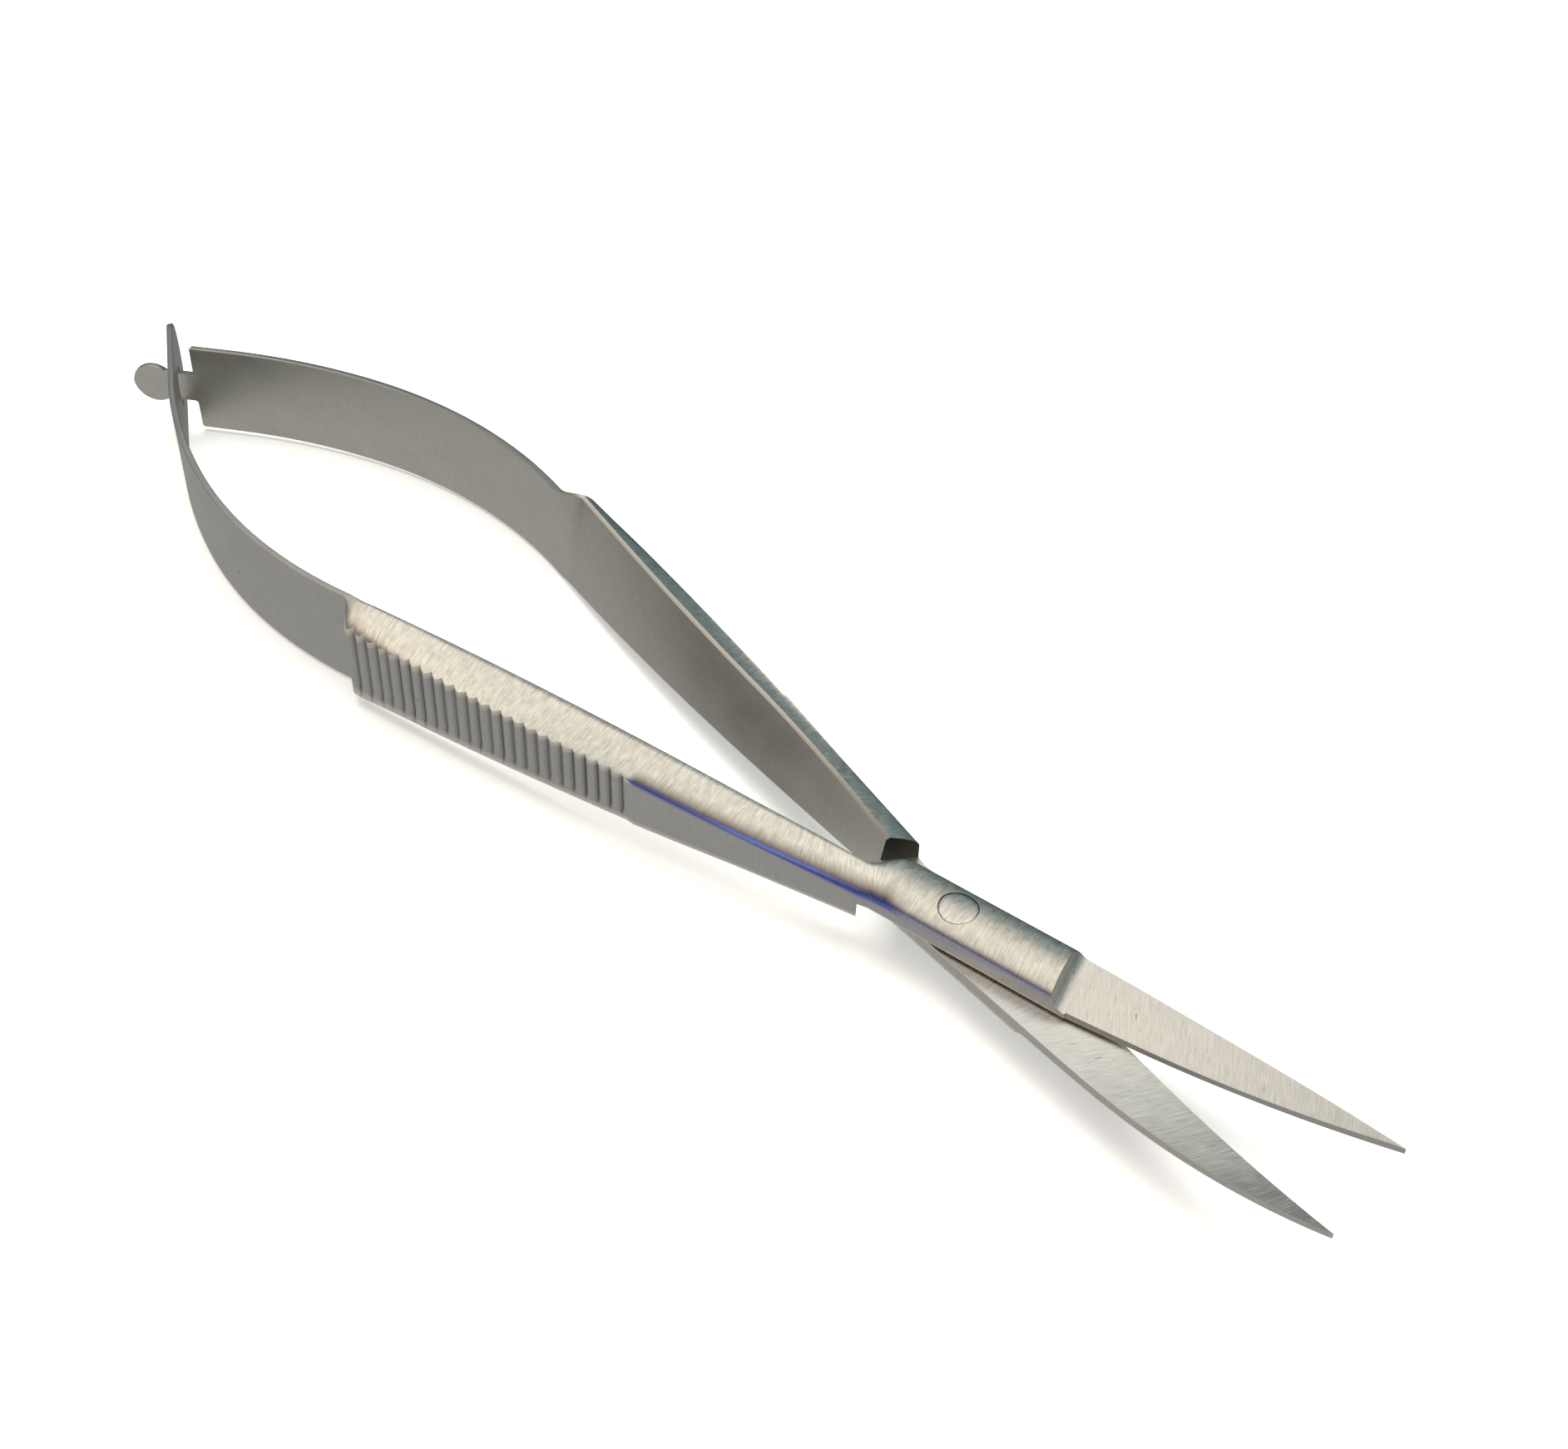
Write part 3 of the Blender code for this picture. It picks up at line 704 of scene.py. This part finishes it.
class Graph:
    """Short calls for building a node tree."""

    def __init__(self, material):
        self.tree = material.node_tree
        self.nodes = self.tree.nodes
        self.shader = self.nodes["Principled BSDF"]

    def node(self, kind, **settings):
        made = self.nodes.new(kind)
        for key, value in settings.items():
            setattr(made, key, value)
        return made

    def plug(self, value, socket):
        if isinstance(value, bpy.types.NodeSocket):
            self.tree.links.new(value, socket)
        else:
            socket.default_value = value

    def attribute(self, name):
        return self.node("ShaderNodeAttribute", attribute_name=name)

    def sum(self, first, first_share, second, second_share):
        return self.math("ADD", self.math("MULTIPLY", first, first_share),
                         self.math("MULTIPLY", second, second_share))

    def math(self, operation, a, b=0.0, clamp=False):
        made = self.node("ShaderNodeMath", operation=operation, use_clamp=clamp)
        self.plug(a, made.inputs[0])
        self.plug(b, made.inputs[1])
        return made.outputs[0]

    def scaled(self, vector, scale):
        made = self.node("ShaderNodeVectorMath", operation="MULTIPLY")
        self.plug(vector, made.inputs[0])
        made.inputs[1].default_value = scale
        return made.outputs[0]

    def noise(self, vector, scale, detail=3.0, roughness=0.55, distortion=0.0):
        made = self.node("ShaderNodeTexNoise")
        self.plug(vector, made.inputs["Vector"])
        made.inputs["Scale"].default_value = scale
        made.inputs["Detail"].default_value = detail
        made.inputs["Roughness"].default_value = roughness
        made.inputs["Distortion"].default_value = distortion
        return made.outputs["Fac"]

    def ramp(self, value, low, high, out_low=0.0, out_high=1.0):
        made = self.node("ShaderNodeMapRange", clamp=True)
        self.plug(value, made.inputs["Value"])
        made.inputs["From Min"].default_value = low
        made.inputs["From Max"].default_value = high
        made.inputs["To Min"].default_value = out_low
        made.inputs["To Max"].default_value = out_high
        return made.outputs["Result"]

    def blend(self, share, first, second, mode="MIX"):
        made = self.node("ShaderNodeMix", data_type="RGBA", blend_type=mode)
        self.plug(share, made.inputs[0])
        self.plug(first, made.inputs[6])
        self.plug(second, made.inputs[7])
        return made.outputs[2]

    def mix(self, share, first, second):
        made = self.node("ShaderNodeMix", data_type="FLOAT")
        self.plug(share, made.inputs[0])
        self.plug(first, made.inputs[2])
        self.plug(second, made.inputs[3])
        return made.outputs[0]

    def separate(self, colour):
        made = self.node("ShaderNodeSeparateColor")
        self.plug(colour, made.inputs[0])
        return made.outputs


class Patterns:
    """Noise patterns along the brushing: X runs along the half in mm, Y across it."""

    def __init__(self, g):
        self.grain = g.attribute("grain").outputs["Vector"]
        self.brush = g.noise(g.scaled(self.grain, (9.0, 0.7, 1.0)), 1.0, 4.0, 0.6, 0.3)
        self.fine = g.noise(g.scaled(self.grain, (26.0, 1.2, 1.0)), 1.0, 3.0, 0.6)
        self.mottle = g.noise(g.scaled(self.grain, (1.9, 1.5, 1.0)), 1.0, 5.0, 0.65)
        self.cloud = g.noise(g.scaled(self.grain, (0.22, 0.3, 1.0)), 1.0, 3.0, 0.5)
        self.nicks = g.noise(g.scaled(self.grain, (6.0, 0.9, 1.0)), 1.0, 2.0, 0.5)
        self.specks = g.noise(self.grain, 1.7, 2.0, 0.5)
        place = g.node("ShaderNodeSeparateXYZ")
        g.plug(self.grain, place.inputs[0])
        self.along, self.across = place.outputs["X"], place.outputs["Y"]


def plain_colour(g, zone, pattern, crown, wall, blade, inner):
    """Colour of each zone, with mottling and brushing."""
    inner_dark = tuple(0.90 * value for value in inner[:3]) + (1.0,)
    colour = g.blend(g.ramp(pattern.cloud, 0.35, 0.65), inner_dark, inner)
    colour = g.blend(zone["Green"], colour, wall)
    colour = g.blend(zone["Red"], colour, crown)
    colour = g.blend(zone["Blue"], colour, blade)
    speckle = g.ramp(g.sum(pattern.mottle, 0.7, pattern.brush, 0.3), 0.38, 0.60, 0.80, 1.05)
    colour = g.blend(g.math("MAXIMUM", zone["Red"], 0.18), colour,
                     g.blend(1.0, colour, speckle, "MULTIPLY"))
    lines = g.ramp(g.sum(pattern.brush, 0.65, pattern.fine, 0.35), 0.34, 0.64, 0.78, 1.10)
    ground = g.math("MAXIMUM", zone["Red"], zone["Blue"])
    return g.blend(g.math("MAXIMUM", ground, 0.3), colour, g.blend(1.0, colour, lines, "MULTIPLY"))


def worn_colour(g, zone, pattern, colour, tip_grey):
    """Adds the grey towards a blade's tip and the nicks near its cutting edge."""
    smudge = g.ramp(g.sum(pattern.cloud, 0.5, pattern.brush, 0.5), 0.36, 0.62, 1.15, 0.55)
    toward_tip = g.math("MULTIPLY", g.ramp(pattern.along, 9.0, 27.0), zone["Blue"])
    toward_tip = g.math("MULTIPLY", toward_tip, smudge)
    colour = g.blend(g.math("MULTIPLY", toward_tip, tip_grey, True), colour, TIP_COLOUR)
    nicks = g.math("MULTIPLY", g.ramp(pattern.nicks, 0.66, 0.72), g.ramp(pattern.across, 0.7, 1.6))
    nicks = g.math("MULTIPLY", nicks, zone["Blue"])
    return g.blend(g.math("MULTIPLY", nicks, 0.55), colour, NICK_COLOUR)


def marked_colour(g, zone, mark, pattern, colour):
    """Adds the painted reflections (a brown band and a blue line by the crown's near edge), the painted
    shade in the groove valleys and the wall's specks.
    """
    # painted brown reflection
    brown = g.math("MULTIPLY", g.math("POWER", mark["Green"], 1.4), 0.95)
    colour = g.blend(brown, colour, PAINTED_BROWN_REFLECTION_COLOUR)
    # painted blue reflection, mottled
    blue_reflection_mottle = g.ramp(pattern.mottle, 0.36, 0.62, 0.55, 0.98)
    colour = g.blend(g.math("MULTIPLY", mark["Red"], blue_reflection_mottle), colour, PAINTED_BLUE_REFLECTION_COLOUR)
    # painted shade in the groove valleys
    valley_shade = g.math("MULTIPLY", g.math("POWER", mark["Blue"], 2.0), 0.80)
    colour = g.blend(valley_shade, colour, VALLEY_SHADE_COLOUR)
    specks = g.math("MULTIPLY", g.ramp(pattern.specks, 0.735, 0.765), zone["Green"])
    return g.blend(g.math("MULTIPLY", specks, 0.8), colour, SPECK_COLOUR)


def steel(name, crown, wall, blade, inner, blade_rough, tip_grey):
    """Brushed steel, coloured by the zone and mark attributes."""
    material = bpy.data.materials.new(name)
    material.use_nodes = True
    g = Graph(material)
    zone_node = g.attribute("zone")
    zone = g.separate(zone_node.outputs["Color"])
    mark = g.separate(g.attribute("mark").outputs["Color"])
    pattern = Patterns(g)

    colour = plain_colour(g, zone, pattern, crown, wall, blade, inner)
    colour = worn_colour(g, zone, pattern, colour, tip_grey)
    colour = marked_colour(g, zone, mark, pattern, colour)
    # painted shade on the shoulder's milled face, where the zone's alpha is 0
    colour = g.blend(zone_node.outputs["Alpha"], SHOULDER_SHADE_COLOUR, colour)
    g.plug(colour, g.shader.inputs["Base Color"])

    crown_rough = g.ramp(pattern.mottle, 0.3, 0.7, 0.27, 0.38)
    inner_rough = g.ramp(pattern.cloud, 0.3, 0.7, 0.40, 0.50)
    ground_rough = g.ramp(pattern.brush, 0.3, 0.7, blade_rough - 0.05, blade_rough + 0.07)
    rough = g.mix(zone["Blue"], g.mix(zone["Red"], inner_rough, crown_rough), ground_rough)
    g.plug(rough, g.shader.inputs["Roughness"])
    g.shader.inputs["Metallic"].default_value = 1.0
    g.shader.inputs["Anisotropic"].default_value = 0.35

    bump = g.node("ShaderNodeBump")
    bump.inputs["Strength"].default_value = 0.12
    bump.inputs["Distance"].default_value = 0.02 * MM
    g.plug(g.sum(pattern.brush, 0.6, pattern.fine, 0.4), bump.inputs["Height"])
    g.plug(bump.outputs["Normal"], g.shader.inputs["Normal"])
    return material


def hole_shade_steel(name):
    """Painted shade inside the pin's hole and the slot, as dark steel."""
    material = bpy.data.materials.new(name)
    material.use_nodes = True
    g = Graph(material)
    grain = g.noise(g.attribute("grain").outputs["Vector"], 6.0, 4.0)
    g.plug(g.blend(grain, (0.03, 0.026, 0.024, 1.0), (0.07, 0.06, 0.055, 1.0)),
           g.shader.inputs["Base Color"])
    g.plug(g.ramp(grain, 0.3, 0.7, 0.45, 0.60), g.shader.inputs["Roughness"])
    g.shader.inputs["Metallic"].default_value = 1.0
    return material


# ---------------------------------------------------------------- studio

def make_floor():
    mesh = bmesh.new()
    bmesh.ops.create_grid(mesh, x_segments=8, y_segments=8, size=3.0)
    floor = place_mesh(mesh, "studio_floor")
    floor.location = (0, 0, -FLOOR_GAP)
    material = bpy.data.materials.new("pale_floor")
    material.use_nodes = True
    shader = material.node_tree.nodes["Principled BSDF"]
    shader.inputs["Base Color"].default_value = (0.95, 0.95, 0.95, 1)
    shader.inputs["Roughness"].default_value = 0.9
    shader.inputs["Emission Color"].default_value = (1, 1, 1, 1)
    shader.inputs["Emission Strength"].default_value = 0.30
    floor.data.materials.append(material)
    floor.visible_glossy = False


def area_light(name, place, target, size, power, colour):
    light = bpy.data.lights.new(name, "AREA")
    light.energy = power
    light.color = colour
    light.shape = "SQUARE"
    light.size = size
    item = bpy.data.objects.new(name, light)
    item.location = place
    item.rotation_euler = (Vector(target) - Vector(place)).to_track_quat("-Z", "Y").to_euler()
    item.visible_glossy = False
    bpy.context.scene.collection.objects.link(item)


def make_world():
    """Soft surroundings that the steel reflects: one row of brightness for each side."""
    world = bpy.data.worlds.new("studio")
    bpy.context.scene.world = world
    world.use_nodes = True
    tree = world.node_tree
    nodes, links = tree.nodes, tree.links
    background = nodes["Background"]
    coordinate = nodes.new("ShaderNodeTexCoord")
    split = nodes.new("ShaderNodeSeparateXYZ")
    links.new(coordinate.outputs["Generated"], split.inputs[0])

    def ramp(stops):
        made = nodes.new("ShaderNodeValToRGB")
        elements = made.color_ramp.elements
        while len(elements) < len(stops):
            elements.new(0.5)
        for element, (place, colour) in zip(elements, stops):
            element.position = place
            element.color = (*colour, 1)
        return made

    height = nodes.new("ShaderNodeMapRange")
    height.inputs["From Min"].default_value = -1.0
    height.inputs["From Max"].default_value = 1.0
    links.new(split.outputs["Z"], height.inputs["Value"])
    far_side = ramp(FAR_SIDE_SKY)
    near_side = ramp(NEAR_SIDE_SKY)
    links.new(height.outputs[0], far_side.inputs[0])
    links.new(height.outputs[0], near_side.inputs[0])
    side = nodes.new("ShaderNodeMapRange")
    side.inputs["From Min"].default_value = -SKY_BLEND
    side.inputs["From Max"].default_value = SKY_BLEND
    links.new(split.outputs["Y"], side.inputs["Value"])
    blend = nodes.new("ShaderNodeMix")
    blend.data_type = "RGBA"
    links.new(side.outputs[0], blend.inputs[0])
    links.new(near_side.outputs[0], blend.inputs[6])
    links.new(far_side.outputs[0], blend.inputs[7])
    links.new(blend.outputs[2], background.inputs[0])
    background.inputs[1].default_value = 1.0


def make_camera():
    """Camera that looks at the target from a bearing and a height, rolled about its own axis."""
    level = cos(CAMERA_RISE)
    forward = Vector((sin(CAMERA_BEARING) * level, cos(CAMERA_BEARING) * level, -sin(CAMERA_RISE)))
    right = Vector((cos(CAMERA_BEARING), -sin(CAMERA_BEARING), 0))
    down = forward.cross(right)
    turned_right = right * cos(CAMERA_ROLL) + down * sin(CAMERA_ROLL)
    turned_down = down * cos(CAMERA_ROLL) - right * sin(CAMERA_ROLL)
    data = bpy.data.cameras.new("camera")
    item = bpy.data.objects.new("camera", data)
    bpy.context.scene.collection.objects.link(item)
    place = PIVOT + Vector(CAMERA_TARGET) - forward * CAMERA_DISTANCE
    columns = (turned_right, -turned_down, -forward, place)
    rows = [[column[i] for column in columns] for i in range(3)]
    item.matrix_world = Matrix(rows + [[0, 0, 0, 1]])
    data.sensor_width = 36.0
    data.lens = CAMERA_LENS
    data.clip_start = 0.005
    bpy.context.scene.camera = item


# ---------------------------------------------------------------- build

upper = build_half("upper_snips_half", False)
lower = build_half("lower_snips_half", True)
pin = build_pin()
cut_with(upper, pin_hole())
cut_with(lower, pin_hole())
cut_with(upper, slot_hole())
for piece in (upper, lower, pin):
    piece.data.shade_smooth()
    piece.data.set_sharp_from_angle(angle=SHARP_ANGLE)

upper_finish = steel(
    "upper_half_steel", crown=(0.80, 0.765, 0.69, 1), wall=(0.46, 0.46, 0.46, 1),
    blade=(0.84, 0.80, 0.75, 1), inner=(0.52, 0.51, 0.49, 1), blade_rough=0.42, tip_grey=0.15)
lower_finish = steel(
    "lower_half_steel", crown=(0.74, 0.74, 0.70, 1), wall=(0.42, 0.42, 0.42, 1),
    blade=(0.95, 0.93, 0.88, 1), inner=(0.56, 0.555, 0.52, 1), blade_rough=0.34, tip_grey=0.80)
pin_finish = steel(
    "pin_head_steel", crown=(0.78, 0.755, 0.70, 1), wall=(0.46, 0.46, 0.46, 1),
    blade=(0.80, 0.78, 0.75, 1), inner=(0.50, 0.49, 0.47, 1), blade_rough=0.34, tip_grey=0.0)
# painted shade inside the pin's hole and the slot
dark = hole_shade_steel("hole_wall_painted_shade")
for piece, finish in ((upper, upper_finish), (lower, lower_finish)):
    piece.data.materials.clear()
    piece.data.materials.append(finish)
    piece.data.materials.append(dark)
pin.data.materials.append(pin_finish)


def blend_point(arc, side):
    x, y, _ = curve(arc)
    return PIVOT + Vector((x, side * y, 0))


blend_point(BLEND_START_ARC, -1)
blend_point(BLEND_END_ARC, -1)
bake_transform(upper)
blend_point(BLEND_START_ARC, 1)
blend_point(BLEND_END_ARC, 1)
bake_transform(lower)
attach(pin, "upper_half")
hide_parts("upper_half", "upper_leaf_spring")
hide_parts("lower_half", "lower_leaf_spring")
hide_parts("pivot_pin")

make_floor()
make_world()
make_camera()
area_light("key_softbox", PIVOT + Vector((-0.10, 0.10, 0.45)), PIVOT, 0.40, 2.2, (1.0, 0.97, 0.91))

bpy.context.scene.view_settings.view_transform = "Standard"
